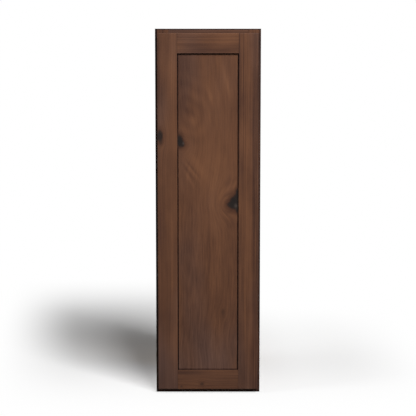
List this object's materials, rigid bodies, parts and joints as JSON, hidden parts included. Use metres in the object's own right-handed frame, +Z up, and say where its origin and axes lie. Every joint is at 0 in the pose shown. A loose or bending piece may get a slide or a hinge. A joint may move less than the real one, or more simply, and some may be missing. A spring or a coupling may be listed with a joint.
{
  "type": "kitchen wall cabinet",
  "caption": "Tall narrow framed kitchen wall cabinet in stained knotty wood, with a full-overlay flat-panel door on concealed hinges and adjustable shelves, screwed to a wall at rear rails.",
  "frame": {"origin": "middle of the lower edge of the wall face, where the lower hanging rail meets the wall", "axes": "+Z up along the height, +Y into the wall, +X towards the free edge of the door"},
  "size_m": [0.3048, 0.3264, 1.0668],
  "materials": {
    "stained_alder": "dark brown stain under satin lacquer, knotty grain",
    "clear_maple": "clear satin lacquer on pale plywood",
    "raw_wood": "unfinished",
    "spacer_rubber": "matt",
    "bumper_plastic": "clear soft polyurethane",
    "nickel_plate": "satin nickel plate",
    "zinc_steel": "bright zinc plate"
  },
  "bodies": {
    "cabinet": {"arm_lever_pins": "zinc_steel", "arm_link_pins": "zinc_steel", "back_panel": "clear_maple", "bottom_panel": "clear_maple", "frame_bottom_rail": "stained_alder", "frame_left_stile": "stained_alder", "frame_right_stile": "stained_alder", "frame_top_rail": "stained_alder", "hinge_arm_screws": "zinc_steel", "hinge_plate_screws": "zinc_steel", "left_side": "stained_alder", "lower_corner_blocks": "raw_wood", "lower_hanging_rail": "raw_wood", "lower_hinge_arm": "nickel_plate", "lower_hinge_plate": "nickel_plate", "lower_shelf": "clear_maple", "lower_shelf_edge": "clear_maple", "lower_shelf_pins": "zinc_steel", "middle_hinge_arm": "nickel_plate", "middle_hinge_plate": "nickel_plate", "middle_shelf": "clear_maple", "middle_shelf_edge": "clear_maple", "middle_shelf_pins": "zinc_steel", "right_side": "stained_alder", "top_panel": "clear_maple", "upper_corner_blocks": "raw_wood", "upper_hanging_rail": "raw_wood", "upper_hinge_arm": "nickel_plate", "upper_hinge_plate": "nickel_plate", "upper_shelf": "clear_maple", "upper_shelf_edge": "clear_maple", "upper_shelf_pins": "zinc_steel"},
    "hinge_links": {"lower_hinge_link": "zinc_steel", "middle_hinge_link": "zinc_steel", "upper_hinge_link": "zinc_steel"},
    "door": {"door_bottom_rail": "stained_alder", "door_bumpers": "bumper_plastic", "door_free_stile": "stained_alder", "door_hinge_stile": "stained_alder", "door_panel": "stained_alder", "door_top_rail": "stained_alder", "lower_hinge_cup": "nickel_plate", "middle_hinge_cup": "nickel_plate", "upper_hinge_cup": "nickel_plate", "panel_spacers": "spacer_rubber", "hinge_cup_screws": "zinc_steel", "cup_link_pins": "zinc_steel", "cup_lever_pins": "zinc_steel", "hinge_springs": "zinc_steel"},
    "hinge_levers": {"lower_hinge_lever": "zinc_steel", "middle_hinge_lever": "zinc_steel", "upper_hinge_lever": "zinc_steel"}
  },
  "joints": [
    {"name": "hinge_link_swing", "type": "hinge", "parent": "cabinet", "child": "hinge_links", "pos_m": [-0.10855, -0.3013, 0.5334], "axis": [0, 0, 1], "range_deg": [0, 14.71]},
    {"name": "door_swing", "type": "hinge", "parent": "hinge_links", "child": "door", "pos_m": [-0.13605, -0.3133, 0.5334], "axis": [0, 0, -1], "range_deg": [0, 119.7], "stiffness_Nm_per_rad": 0.15},
    {"name": "hinge_lever_swing", "type": "hinge", "parent": "door", "child": "hinge_levers", "pos_m": [-0.13455, -0.3091, 0.5334], "axis": [0, 0, 1], "range_deg": [0, 131.4]}
  ],
  "couplings": [
    {"joint": "hinge_link_swing", "follows": "door_swing", "ratio": 0.12281},
    {"joint": "hinge_lever_swing", "follows": "door_swing", "ratio": 1.0974}
  ]
}
